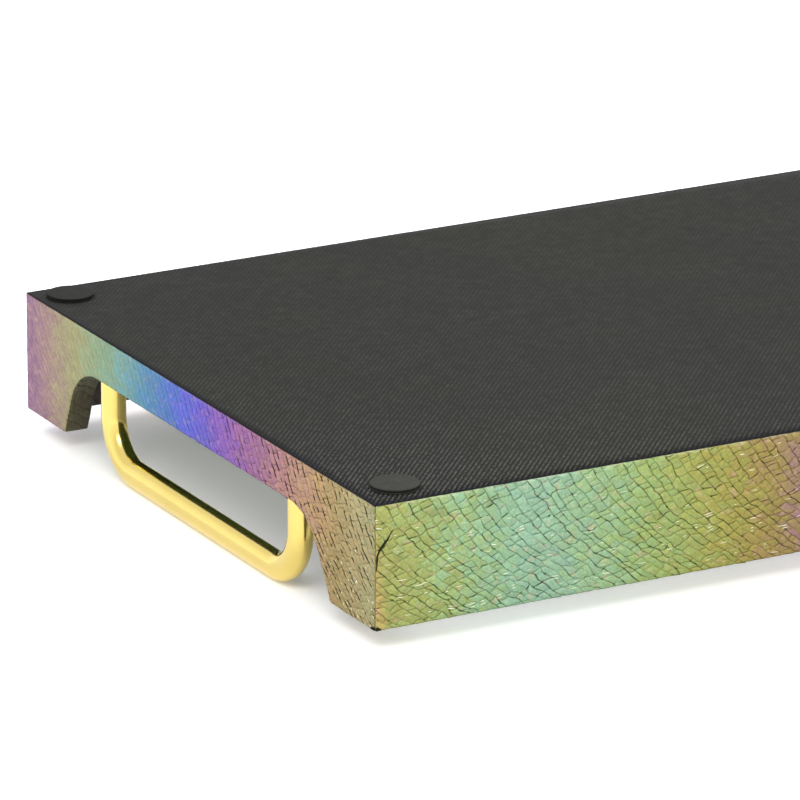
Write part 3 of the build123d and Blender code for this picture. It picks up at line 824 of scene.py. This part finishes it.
def handle(name, node, side):
    xh = side * BXM
    a, b, bend = 9.6 / 2, 11.6 / 2, 20.5
    power = 2.12                           # a soft-cornered section, between an ellipse and a rectangle
    sec = []
    for t in np.linspace(0, 2 * np.pi, 72, endpoint=False):
        c, s = math.cos(t), math.sin(t)
        sec.append((a * math.copysign(abs(c) ** (2 / power), c), b * math.copysign(abs(s) ** (2 / power), s)))
    # even spacing round the section
    sec = np.array(sec)
    loop = np.concatenate([sec, sec[:1]])
    arc = np.concatenate([[0], np.cumsum(np.hypot(*np.diff(loop, axis=0).T))])
    at = np.linspace(0, arc[-1], 65)[:-1]
    sec = np.stack([np.interp(at, arc, loop[:, 0]), np.interp(at, arc, loop[:, 1])], 1)
    bar = b
    path, tang = [], []
    for z in np.linspace(NOTCH_Z + 0.9, bar + bend, 12)[:-1]:
        path.append((-LEG, z)); tang.append((0, -1))
    for t in np.linspace(0, 90, 41):
        th = math.radians(t)
        path.append((-LEG + bend - bend * math.cos(th), bar + bend - bend * math.sin(th))); tang.append((math.sin(th), -math.cos(th)))
    for y in np.linspace(-LEG + bend, LEG - bend, 40)[1:-1]:
        path.append((y, bar)); tang.append((1, 0))
    for t in np.linspace(0, 90, 41):
        th = math.radians(t)
        path.append((LEG - bend + bend * math.sin(th), bar + bend - bend * math.cos(th))); tang.append((math.cos(th), math.sin(th)))
    for z in np.linspace(bar + bend, NOTCH_Z + 0.9, 12)[1:]:
        path.append((LEG, z)); tang.append((0, 1))
    V, F = [], []
    n = len(sec)
    for (y, z), (ty, tz) in zip(path, tang):
        ny, nz = -tz, ty                       # in-plane normal
        for sx, sn in sec:
            V.append((xh + sx, y + ny * sn, z + nz * sn))
    for k in range(len(path) - 1):
        for i in range(n):
            j = (i + 1) % n
            F.append((k * n + i, k * n + j, (k + 1) * n + j, (k + 1) * n + i))
    F.append(tuple(range(n))[::-1])
    last = (len(path) - 1) * n
    F.append(tuple(last + i for i in range(n)))
    ob = new_mesh(name, V, F)
    bm = bmesh.new()
    bm.from_mesh(ob.data)
    bmesh.ops.recalc_face_normals(bm, faces=bm.faces)
    bm.to_mesh(ob.data)
    bm.free()
    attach(ob, "root")
    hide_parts(node)
    return ob


# ------------------------------------------------------------------ materials
def lin(c):
    return tuple(((x / 255) / 12.92 if x / 255 <= 0.04045 else ((x / 255 + 0.055) / 1.055) ** 2.4) for x in c)


def new_mat(name):
    m = bpy.data.materials.new(name)
    m.use_nodes = True
    nt = m.node_tree
    nt.nodes.clear()
    out = nt.nodes.new("ShaderNodeOutputMaterial")
    bs = nt.nodes.new("ShaderNodeBsdfPrincipled")
    nt.links.new(bs.outputs[0], out.inputs[0])
    return m, nt, bs


def node(nt, kind, **kw):
    n = nt.nodes.new(kind)
    for k, v in kw.items():
        if k.startswith("in_"):
            n.inputs[int(k[3:])].default_value = v
        else:
            setattr(n, k, v)
    return n


def math_node(nt, op, a, b=None, c=None, clamp=False):
    n = nt.nodes.new("ShaderNodeMath")
    n.operation = op
    n.use_clamp = clamp
    for i, x in enumerate((a, b, c)):
        if x is None:
            continue
        if isinstance(x, (int, float)):
            n.inputs[i].default_value = x
        else:
            nt.links.new(x, n.inputs[i])
    return n.outputs[0]


def mix_rgb(nt, fac, a, b, mode="MIX"):
    n = nt.nodes.new("ShaderNodeMix")
    n.data_type = "RGBA"
    n.blend_type = mode
    for sock, x in ((n.inputs["Factor"], fac), (n.inputs[6], a), (n.inputs[7], b)):
        if isinstance(x, (int, float)):
            sock.default_value = x
        elif isinstance(x, tuple):
            sock.default_value = (*x[:3], 1)
        else:
            nt.links.new(x, sock)
    return n.outputs[2]


def ramp(nt, fac, stops, interp="LINEAR"):
    n = nt.nodes.new("ShaderNodeValToRGB")
    cr = n.color_ramp
    cr.interpolation = interp
    while len(cr.elements) < len(stops):
        cr.elements.new(0.5)
    for e, (p, c) in zip(cr.elements, stops):
        e.position = p
        e.color = (*c[:3], 1) if isinstance(c, tuple) else (c, c, c, 1)
    nt.links.new(fac, n.inputs[0])
    return n.outputs[0]


LONG_STOPS = [(0, (148, 152, 81)), (12, (150, 158, 86)), (20, (146, 160, 93)), (30, (145, 167, 106)), (40, (141, 170, 121)), (52, (137, 174, 135)),
              (68, (137, 173, 147)), (84, (139, 173, 137)), (100, (140, 170, 120)), (116, (143, 167, 101)), (130, (146, 160, 88)),
              (146, (149, 153, 75)), (160, (150, 143, 67)), (172, (149, 130, 66)), (184, (143, 119, 83)), (200, (143, 107, 109)),
              (220, (135, 100, 141)), (240, (111, 102, 172)), (262, (94, 127, 167)), (285, (105, 154, 150)), (310, (129, 164, 129)),
              (335, (145, 166, 100)), (360, (150, 156, 89)), (385, (154, 137, 85)), (405, (147, 119, 111)), (425, (134, 102, 141)),
              (450, (114, 105, 172))]
END_STOPS = [(0, (125, 82, 118)), (12, (141, 103, 113)), (24, (145, 120, 101)), (36, (141, 133, 92)), (48, (141, 139, 86)), (62, (121, 146, 106)),
             (76, (109, 145, 115)), (90, (89, 142, 138)), (105, (56, 126, 157)), (120, (40, 106, 159)), (135, (46, 88, 183)), (150, (70, 69, 188)),
             (165, (93, 59, 170)), (180, (119, 66, 160)), (195, (138, 76, 139)), (210, (137, 84, 120)), (225, (160, 109, 108)),
             (240, (162, 121, 98)), (255, (168, 135, 83)), (270, (152, 132, 75)), (285, (162, 146, 97)), (300, (141, 142, 94))]


def leather(name, stops, length, gain, dark, shade=(1.0, 1.0, 1.0), corner=0.0, mottle=0.0, vary=1.0):
    m, nt, bs = new_mat(name)
    L = nt.links.new

    def attr(key):
        return node(nt, "ShaderNodeAttribute", attribute_name=key).outputs["Fac"]

    band, crack, cell, glint, stain_at, lip = attr("band"), attr("crack"), attr("cell"), attr("glint"), attr("stain"), attr("lip")
    xyz = nt.nodes.new("ShaderNodeCombineXYZ")
    L(attr("su"), xyz.inputs[0])
    L(attr("sv"), xyz.inputs[1])
    sheet = xyz.outputs[0]

    def noise(vec, scale, detail=2.0, rough=0.5):
        n = nt.nodes.new("ShaderNodeTexNoise")
        n.inputs["Scale"].default_value = scale
        n.inputs["Detail"].default_value = detail
        n.inputs["Roughness"].default_value = rough
        L(vec, n.inputs["Vector"])
        return n.outputs["Fac"]

    broad, mid, small, fine, grain = noise(sheet, 0.035), noise(sheet, 0.16, 3, 0.6), noise(sheet, 0.42, 2), noise(sheet, 1.0, 2), noise(sheet, 3.0, 1)
    # fine parallel streaks in the foil, rising to the right
    rot = node(nt, "ShaderNodeMapping")
    rot.inputs["Rotation"].default_value = (0, 0, math.radians(18))
    L(sheet, rot.inputs["Vector"])
    flat = node(nt, "ShaderNodeMapping")
    flat.inputs["Scale"].default_value = (0.30, 2.3, 1.0)
    L(rot.outputs[0], flat.inputs["Vector"])
    streak = ramp(nt, noise(flat.outputs[0], 1.0, 2, 0.6), [(0.0, 0.0), (0.56, 0.0), (0.68, 1.0), (1.0, 1.0)])
    some = ramp(nt, noise(sheet, 0.11, 1), [(0.0, 0.0), (0.46, 0.0), (0.60, 1.0), (1.0, 1.0)])
    streak = math_node(nt, "MULTIPLY", streak, some)
    # pebbling inside the scales
    vor = nt.nodes.new("ShaderNodeTexVoronoi")
    vor.inputs["Scale"].default_value = 0.72
    L(sheet, vor.inputs["Vector"])
    pebble = vor.outputs["Distance"]
    # colour bands, shifted a little from scale to scale and inside them
    shift = math_node(nt, "MULTIPLY", math_node(nt, "SUBTRACT", cell, 0.5), 9.0 * vary / length)
    odd = math_node(nt, "GREATER_THAN", cell, 0.955)
    shift = math_node(nt, "MULTIPLY_ADD", odd, 4.0 / length, shift)
    shift = math_node(nt, "MULTIPLY_ADD", math_node(nt, "SUBTRACT", mid, 0.5), 32.0 * vary / length, shift)
    shift = math_node(nt, "MULTIPLY_ADD", math_node(nt, "SUBTRACT", small, 0.5), 28.0 * vary / length, shift)
    shift = math_node(nt, "MULTIPLY_ADD", math_node(nt, "SUBTRACT", broad, 0.5), 16.0 / length, shift)
    pos = math_node(nt, "ADD", band, shift, clamp=True)
    col = ramp(nt, pos, [(p / length, tuple(min(1.0, x * gain * q) for x, q in zip(lin(c), shade))) for p, c in stops])
    if corner > 0:
        # the foil turns orange where it folds round the corner
        at = math_node(nt, "MULTIPLY_ADD", math_node(nt, "SUBTRACT", fine, 0.5), 7.0 / length, band)
        at = math_node(nt, "MULTIPLY_ADD", math_node(nt, "SUBTRACT", small, 0.5), 6.0 / length, at)
        strip = ramp(nt, at, [(0.0, 1.0), (1.2 / length, 0.9), (3.2 / length, 0.0), (1.0, 0.0)])
        col = mix_rgb(nt, math_node(nt, "MULTIPLY", strip, corner), col, tuple(x * gain for x in lin((206, 148, 92))))
    # a pink blush here and there
    blush = ramp(nt, noise(sheet, 0.27, 2, 0.55), [(0.0, 0.0), (0.57, 0.0), (0.70, 1.0), (1.0, 1.0)])
    col = mix_rgb(nt, math_node(nt, "MULTIPLY", blush, 0.30 * vary), col, tuple(x * gain * 1.02 * q for x, q in zip(lin((196, 160, 138)), shade)))
    val = math_node(nt, "MULTIPLY_ADD", cell, 0.13, 0.945)
    if mottle > 0:
        # coarse soft blotches at one end of the sheet, fine mottling at the other
        detail_fade = ramp(nt, band, [(0.0, 0.40), (0.30, 0.45), (0.72, 1.0), (1.0, 1.0)])
        fine_part = math_node(nt, "MULTIPLY", math_node(nt, "MULTIPLY", math_node(nt, "SUBTRACT", fine, 0.5), 0.66 + mottle), detail_fade)
        grain_part = math_node(nt, "MULTIPLY", math_node(nt, "MULTIPLY", math_node(nt, "SUBTRACT", grain, 0.5), 0.54 + mottle), detail_fade)
        soft = math_node(nt, "MULTIPLY", math_node(nt, "SUBTRACT", mid, 0.5), math_node(nt, "MULTIPLY_ADD", detail_fade, -0.75, 0.75))
        val = math_node(nt, "MULTIPLY", val, math_node(nt, "ADD", fine_part, 1.0))
        val = math_node(nt, "MULTIPLY", val, math_node(nt, "ADD", grain_part, 1.0))
        val = math_node(nt, "MULTIPLY", val, math_node(nt, "ADD", soft, 1.0))
    else:
        val = math_node(nt, "MULTIPLY", val, math_node(nt, "MULTIPLY_ADD", fine, 0.66, 0.67))
        val = math_node(nt, "MULTIPLY", val, math_node(nt, "MULTIPLY_ADD", grain, 0.54, 0.73))
    val = math_node(nt, "MULTIPLY", val, math_node(nt, "MULTIPLY_ADD", pebble, -0.24, 1.09))
    val = math_node(nt, "MULTIPLY_ADD", streak, 0.20, val)
    # painted highlight: cell edges lightened from the lip attribute
    val = math_node(nt, "MULTIPLY_ADD", math_node(nt, "MULTIPLY", lip, math_node(nt, "MULTIPLY_ADD", fine, 1.0, -0.1)), 0.42, val)
    n = nt.nodes.new("ShaderNodeCombineColor")
    for i in range(3):
        L(val, n.inputs[i])
    col = mix_rgb(nt, 1.0, col, n.outputs[0], "MULTIPLY")
    # brownish stains, strongest along the cracks
    patch = ramp(nt, noise(sheet, 0.5, 3, 0.6), [(0.0, 0.0), (0.40, 0.15), (0.62, 1.0), (1.0, 1.0)])
    stain = math_node(nt, "MULTIPLY", stain_at, patch, clamp=True)
    faint = ramp(nt, noise(sheet, 0.085, 2, 0.5), [(0.0, 0.0), (0.58, 0.0), (0.72, 0.42), (1.0, 0.6)])
    stain = math_node(nt, "MAXIMUM", stain, math_node(nt, "MULTIPLY", faint, patch))
    col = mix_rgb(nt, math_node(nt, "MULTIPLY", stain, 0.72), col, tuple(x * gain for x in lin((104, 98, 48))))
    # cracks darken the sheet's own colour
    ck = math_node(nt, "MULTIPLY", crack, math_node(nt, "MULTIPLY_ADD", stain, 0.5, 1.12), clamp=True)
    dark_col = mix_rgb(nt, 1.0, col, (0.20, 0.21, 0.15), "MULTIPLY")
    dark_col = mix_rgb(nt, ramp(nt, ck, [(0.52, 0.0), (1.0, 0.97)]), dark_col, dark)
    col = mix_rgb(nt, math_node(nt, "POWER", ck, 0.8), col, dark_col)
    # painted highlight: glint strokes and the top-edge sheen mixed towards a pale cream
    col = mix_rgb(nt, math_node(nt, "MULTIPLY", glint, 0.92), col, (0.97, 0.94, 0.70))
    L(col, bs.inputs["Base Color"])
    rough = math_node(nt, "MULTIPLY_ADD", fine, 0.22, 0.30)
    rough = math_node(nt, "MULTIPLY_ADD", ck, 0.3, rough)
    rough = math_node(nt, "MULTIPLY_ADD", glint, -0.20, rough, clamp=True)
    L(rough, bs.inputs["Roughness"])
    bs.inputs["Metallic"].default_value = 0.25
    L(math_node(nt, "MULTIPLY_ADD", ck, -0.32, 0.35), bs.inputs["Specular IOR Level"])
    bump = nt.nodes.new("ShaderNodeBump")
    bump.inputs["Strength"].default_value = 0.45
    bump.inputs["Distance"].default_value = 0.00014
    both = math_node(nt, "ADD", fine, math_node(nt, "MULTIPLY", grain, 0.4))
    both = math_node(nt, "MULTIPLY_ADD", streak, 0.35, both)
    both = math_node(nt, "MULTIPLY_ADD", pebble, -0.5, both)
    L(both, bump.inputs["Height"])
    L(bump.outputs[0], bs.inputs["Normal"])
    return m


def black_cover():
    m, nt, bs = new_mat("black_ribbed_cover")
    L = nt.links.new
    ridge = node(nt, "ShaderNodeAttribute", attribute_name="ridge").outputs["Fac"]
    tc = node(nt, "ShaderNodeTexCoord").outputs["Object"]
    mp = nt.nodes.new("ShaderNodeMapping")
    mp.inputs["Rotation"].default_value = (0, 0, -RIB_ANGLE)
    L(tc, mp.inputs["Vector"])
    # threads along the ribs
    mp2 = nt.nodes.new("ShaderNodeMapping")
    mp2.inputs["Scale"].default_value = (1.0, 2.6, 1.0)
    L(mp.outputs[0], mp2.inputs["Vector"])
    thread = nt.nodes.new("ShaderNodeTexNoise")
    thread.inputs["Scale"].default_value = 620
    thread.inputs["Detail"].default_value = 2
    L(mp2.outputs[0], thread.inputs["Vector"])
    wide = nt.nodes.new("ShaderNodeTexNoise")
    wide.inputs["Scale"].default_value = 24
    wide.inputs["Detail"].default_value = 3
    L(tc, wide.inputs["Vector"])
    fleck = nt.nodes.new("ShaderNodeTexNoise")
    fleck.inputs["Scale"].default_value = 1500
    L(tc, fleck.inputs["Vector"])
    # painted highlight and shade: rib crests light, the grooves between them dark
    crest = math_node(nt, "POWER", ridge, 2.6)
    dash = ramp(nt, thread.outputs["Fac"], [(0.30, 0.12), (0.50, 0.55), (0.68, 1.0)])
    crisp = node(nt, "ShaderNodeAttribute", attribute_name="crisp").outputs["Fac"]
    v = math_node(nt, "MULTIPLY_ADD", crest, dash, -0.26)
    v = math_node(nt, "MULTIPLY_ADD", v, crisp, math_node(nt, "MULTIPLY_ADD", crisp, -0.03, 0.292), clamp=True)
    v = math_node(nt, "MULTIPLY", v, math_node(nt, "MULTIPLY_ADD", wide.outputs["Fac"], 0.3, 0.87))
    blotch = nt.nodes.new("ShaderNodeTexNoise")
    blotch.inputs["Scale"].default_value = 230
    blotch.inputs["Detail"].default_value = 4
    L(tc, blotch.inputs["Vector"])
    v = math_node(nt, "MULTIPLY", v, math_node(nt, "MULTIPLY_ADD", blotch.outputs["Fac"], 0.9, 0.56))
    v = math_node(nt, "MULTIPLY_ADD", fleck.outputs["Fac"], 0.16, v)
    col = ramp(nt, v, [(0.0, (0.0018, 0.0018, 0.0017)), (0.35, (0.0125, 0.0124, 0.0116)), (1.0, (0.068, 0.068, 0.063))])
    tint = nt.nodes.new("ShaderNodeTexNoise")
    tint.inputs["Scale"].default_value = 11
    tint.inputs["Detail"].default_value = 2
    L(tc, tint.inputs["Vector"])
    green = mix_rgb(nt, 1.0, col, (1.0, 1.03, 0.86), "MULTIPLY")
    col = mix_rgb(nt, ramp(nt, tint.outputs["Fac"], [(0.40, 0.0), (0.62, 1.0)]), col, green)
    # painted shade: a dark, slightly bluish band along the edges
    sp = nt.nodes.new("ShaderNodeSeparateXYZ")
    L(tc, sp.inputs[0])
    dx = math_node(nt, "SUBTRACT", float(sh[0]) * MM, math_node(nt, "ABSOLUTE", sp.outputs[0]))
    dy = math_node(nt, "SUBTRACT", float(sh[1]) * MM, math_node(nt, "ABSOLUTE", sp.outputs[1]))
    near = math_node(nt, "MINIMUM", dx, dy)
    near = math_node(nt, "MULTIPLY_ADD", math_node(nt, "SUBTRACT", wide.outputs["Fac"], 0.5), 0.002, near)
    near = ramp(nt, near, [(0.0, 0.85), (0.0009, 0.8), (0.0030, 0.0), (1.0, 0.0)])
    col = mix_rgb(nt, near, col, (0.0125, 0.0115, 0.0160))
    L(col, bs.inputs["Base Color"])
    bs.inputs["Roughness"].default_value = 0.82
    bs.inputs["Specular IOR Level"].default_value = 0.12
    bump = nt.nodes.new("ShaderNodeBump")
    bump.inputs["Strength"].default_value = 0.5
    bump.inputs["Distance"].default_value = 0.00010
    L(thread.outputs["Fac"], bump.inputs["Height"])
    L(bump.outputs[0], bs.inputs["Normal"])
    return m


def rubber(name, shade):
    m, nt, bs = new_mat(name)
    L = nt.links.new
    tc = node(nt, "ShaderNodeTexCoord").outputs["Object"]
    a = nt.nodes.new("ShaderNodeTexNoise"); a.inputs["Scale"].default_value = 1100; a.inputs["Detail"].default_value = 3
    b = nt.nodes.new("ShaderNodeTexNoise"); b.inputs["Scale"].default_value = 160; b.inputs["Detail"].default_value = 2
    L(tc, a.inputs["Vector"]); L(tc, b.inputs["Vector"])
    v = math_node(nt, "ADD", math_node(nt, "MULTIPLY", a.outputs["Fac"], 0.6), math_node(nt, "MULTIPLY", b.outputs["Fac"], 0.4))
    # painted shade: the pad's sides darker than its face, from the surface normal
    geo = node(nt, "ShaderNodeNewGeometry")
    sep = nt.nodes.new("ShaderNodeSeparateXYZ")
    L(geo.outputs["Normal"], sep.inputs[0])
    up = math_node(nt, "MULTIPLY", sep.outputs[2], 1.0, clamp=True)
    v2 = math_node(nt, "MULTIPLY", v, math_node(nt, "MULTIPLY_ADD", up, 0.88, 0.12))
    col = ramp(nt, v2, [(0.0, (0.003, 0.003, 0.003)), (0.35, (0.026 * shade, 0.027 * shade, 0.023 * shade)), (0.75, (0.052 * shade, 0.054 * shade, 0.045 * shade))])
    L(col, bs.inputs["Base Color"])
    bs.inputs["Roughness"].default_value = 0.8
    bs.inputs["Specular IOR Level"].default_value = 0.10
    bump = nt.nodes.new("ShaderNodeBump")
    bump.inputs["Strength"].default_value = 0.4
    bump.inputs["Distance"].default_value = 0.0001
    L(a.outputs["Fac"], bump.inputs["Height"])
    L(bump.outputs[0], bs.inputs["Normal"])
    return m


def gold():
    m, nt, bs = new_mat("polished_brass")
    L = nt.links.new
    tc = node(nt, "ShaderNodeTexCoord").outputs["Object"]
    a = nt.nodes.new("ShaderNodeTexNoise"); a.inputs["Scale"].default_value = 300; a.inputs["Detail"].default_value = 4
    b = nt.nodes.new("ShaderNodeTexNoise"); b.inputs["Scale"].default_value = 60; b.inputs["Detail"].default_value = 2
    L(tc, a.inputs["Vector"]); L(tc, b.inputs["Vector"])
    col = ramp(nt, b.outputs["Fac"], [(0.3, (0.72, 0.562, 0.165)), (0.7, (0.76, 0.598, 0.182))])
    L(col, bs.inputs["Base Color"])
    bs.inputs["Metallic"].default_value = 1.0
    r = math_node(nt, "MULTIPLY_ADD", a.outputs["Fac"], 0.07, 0.165)
    L(r, bs.inputs["Roughness"])
    bump = nt.nodes.new("ShaderNodeBump")
    bump.inputs["Strength"].default_value = 0.06
    bump.inputs["Distance"].default_value = 0.00008
    L(b.outputs["Fac"], bump.inputs["Height"])
    L(bump.outputs[0], bs.inputs["Normal"])
    return m


def fibreboard():
    m, nt, bs = new_mat("fibreboard")
    L = nt.links.new
    tc = node(nt, "ShaderNodeTexCoord").outputs["Object"]
    a = nt.nodes.new("ShaderNodeTexNoise"); a.inputs["Scale"].default_value = 900; a.inputs["Detail"].default_value = 5
    L(tc, a.inputs["Vector"])
    col = ramp(nt, a.outputs["Fac"], [(0.3, (0.16, 0.10, 0.055)), (0.5, (0.30, 0.20, 0.115)), (0.7, (0.42, 0.30, 0.18))])
    L(col, bs.inputs["Base Color"])
    bs.inputs["Roughness"].default_value = 0.85
    bump = nt.nodes.new("ShaderNodeBump"); bump.inputs["Strength"].default_value = 0.4; bump.inputs["Distance"].default_value = 0.0002
    L(a.outputs["Fac"], bump.inputs["Height"]); L(bump.outputs[0], bs.inputs["Normal"])
    return m


def zinc():
    m, nt, bs = new_mat("zinc_steel")
    L = nt.links.new
    tc = node(nt, "ShaderNodeTexCoord").outputs["Object"]
    a = nt.nodes.new("ShaderNodeTexNoise"); a.inputs["Scale"].default_value = 1200; a.inputs["Detail"].default_value = 3
    L(tc, a.inputs["Vector"])
    col = ramp(nt, a.outputs["Fac"], [(0.3, (0.42, 0.42, 0.41)), (0.7, (0.66, 0.66, 0.63))])
    L(col, bs.inputs["Base Color"])
    bs.inputs["Metallic"].default_value = 1.0
    L(math_node(nt, "MULTIPLY_ADD", a.outputs["Fac"], 0.25, 0.22), bs.inputs["Roughness"])
    return m


# ------------------------------------------------------------------ build the object
GAIN = 0.86
LEATHER_LONG = leather("scale_leather_long", LONG_STOPS, 450.0, GAIN, (0.016, 0.020, 0.010), corner=0.34, vary=1.4)
LEATHER_END = leather("scale_leather_end", END_STOPS, 300.0, GAIN, (0.010, 0.009, 0.007), mottle=0.42, vary=0.8)
# darker copies of the same leather, painted shade: one for the inside faces and the well floor, one for the hand
# opening's lining
LEATHER_INSIDE_SHADED = leather("scale_leather_inside_painted_shade", LONG_STOPS, 450.0, GAIN * 0.42, (0.010, 0.012, 0.007), shade=(0.70, 0.86, 0.50))
LEATHER_LINING_SHADED = leather("scale_leather_lining_painted_shade", END_STOPS, 300.0, GAIN * 0.24, (0.008, 0.008, 0.006))

made = []
for nm, nd, side, seed in (("wrap_front", "long_wrap_front", -1, 101), ("wrap_back", "long_wrap_back", 1, 202)):
    o = long_wrap(nm, side, seed)
    o.data.materials.append(LEATHER_LONG)
    o.data.materials.append(LEATHER_INSIDE_SHADED)
    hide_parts(nd)
for nm, nd, side, seed in (("wrap_left", "end_wrap_left", -1, 303), ("wrap_right", "end_wrap_right", 1, 404)):
    o = end_wrap(nm, side, seed)
    o.data.materials.append(LEATHER_END)
    o.data.materials.append(LEATHER_INSIDE_SHADED)
    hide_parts(nd)
for nm, nd, side, seed in (("lining_left", "opening_lining_left", -1, 505), ("lining_right", "opening_lining_right", 1, 606)):
    o = lining(nm, side, seed)
    o.data.materials.append(LEATHER_LINING_SHADED)
    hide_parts(nd)
o = well_floor("well_covering", 707)
o.data.materials.append(LEATHER_INSIDE_SHADED)
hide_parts("floor_cover")

o = underside("underside_cover")
o.data.materials.append(black_cover())
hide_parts("underside_sheet")

# the back pads take a darker copy of the same rubber: painted shade
RUBBER = (rubber("pad_foam_rubber", 0.89), rubber("pad_foam_rubber_painted_shade", 0.40))
for i, nd in enumerate(("pad_front_left", "pad_front_right", "pad_back_left", "pad_back_right")):
    o = pad("foot_" + nd[4:], nd, 900 + 7 * i)
    o.data.materials.append(RUBBER[i // 2])

GOLD = gold()
for nm, nd, side in (("bar_left", "handle_left", -1), ("bar_right", "handle_right", 1)):
    o = handle(nm, nd, side)
    o.data.materials.append(GOLD)

BOARD, STEEL = fibreboard(), zinc()
for nd in ("base_board", "long_wall_front", "long_wall_back", "end_wall_left", "end_wall_right", "floor_board"):
    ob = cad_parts[nd]
    ob.data.materials.clear()
    ob.data.materials.append(BOARD)
for nd in ("handle_washers", "handle_screws", "base_screws", "corner_brads"):
    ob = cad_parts[nd]
    ob.data.materials.clear()
    ob.data.materials.append(STEEL)

# ------------------------------------------------------------------ floor, light, camera
fm, fnt, fbs = new_mat("studio_floor")
fbs.inputs["Base Color"].default_value = (0.92, 0.92, 0.92, 1)
fbs.inputs["Roughness"].default_value = 0.9
fbs.inputs["Specular IOR Level"].default_value = 0.1
fbs.inputs["Emission Color"].default_value = (1.0, 1.0, 1.0, 1)
fbs.inputs["Emission Strength"].default_value = 0.20
fme = bpy.data.meshes.new("studio_floor")
S = 14.0
fme.from_pydata([(-S, -S, 0), (S, -S, 0), (S, S, 0), (-S, S, 0)], [], [(0, 1, 2, 3)])
floor = bpy.data.objects.new("studio_floor", fme)
bpy.context.scene.collection.objects.link(floor)
floor.data.materials.append(fm)

world = bpy.data.worlds.new("studio")
bpy.context.scene.world = world
world.use_nodes = True
wnt = world.node_tree
bg = wnt.nodes["Background"]
wsep = wnt.nodes.new("ShaderNodeSeparateXYZ")
wnt.links.new(wnt.nodes.new("ShaderNodeTexCoord").outputs["Generated"], wsep.inputs[0])
up = math_node(wnt, "MULTIPLY_ADD", wsep.outputs[2], 0.5, 0.5)
sky = ramp(wnt, up, [(0.0, 0.70), (0.47, 0.80), (0.50, 1.0), (0.60, 1.0), (0.72, 0.78), (1.0, 0.80)])
wnt.links.new(sky, bg.inputs[0])
bg.inputs[1].default_value = 1.40


def area(name, loc, aim, size, power, col=(1, 1, 1)):
    d = bpy.data.lights.new(name, "AREA")
    d.shape = "RECTANGLE"
    d.size, d.size_y = size
    d.energy = power
    d.color = col
    o = bpy.data.objects.new(name, d)
    bpy.context.scene.collection.objects.link(o)
    o.location = loc
    o.rotation_euler = (Vector(aim) - Vector(loc)).to_track_quat("-Z", "Y").to_euler()
    return o


area("key", (-1.4, -1.6, 2.2), (0, 0, 0.03), (1.6, 1.2), 32)
area("back", (1.2, 1.6, 1.9), (0, 0, 0.03), (1.6, 1.2), 29)
# faint light under the tray, for the floor seen through the openings
X_LOW, Y_LOW = (HX - WALL - 24) * MM, (HY - WALL - 6) * MM
for x, y, z, wx, wy, power in ((-X_LOW, 0, 0.046, 0.040, 0.27, 0.003), (X_LOW, 0, 0.046, 0.040, 0.27, 0.003),
                               (0, -Y_LOW, 0.0162, 0.42, 0.010, 0.018), (0, Y_LOW, 0.0162, 0.42, 0.010, 0.005)):
    low = area("low", (x, y, z), (x, y, 0), (wx, wy), power)
    low.visible_camera = False
    low.visible_glossy = False


K = 1.006
cam_d = bpy.data.cameras.new("camera")
cam_d.sensor_width = 36.0
cam_d.lens = 316.58
cam_d.clip_end = 60
cam = bpy.data.objects.new("camera", cam_d)
bpy.context.scene.collection.objects.link(cam)
right = Vector((0.87728635, -0.47995901, 0.0028316))
down = Vector((-0.14998245, -0.27973792, -0.94828897))
fwd = Vector((0.45593193, 0.83149627, -0.31739568))
pos = Vector((K * -1178.099 - HX, K * -2167.360 - HY, K * 917.217 + RIM)) * MM
cam.matrix_world = Matrix((
    (right.x, -down.x, -fwd.x, pos.x),
    (right.y, -down.y, -fwd.y, pos.y),
    (right.z, -down.z, -fwd.z, pos.z),
    (0, 0, 0, 1)))
bpy.context.scene.camera = cam
bpy.context.scene.view_settings.view_transform = "Standard"
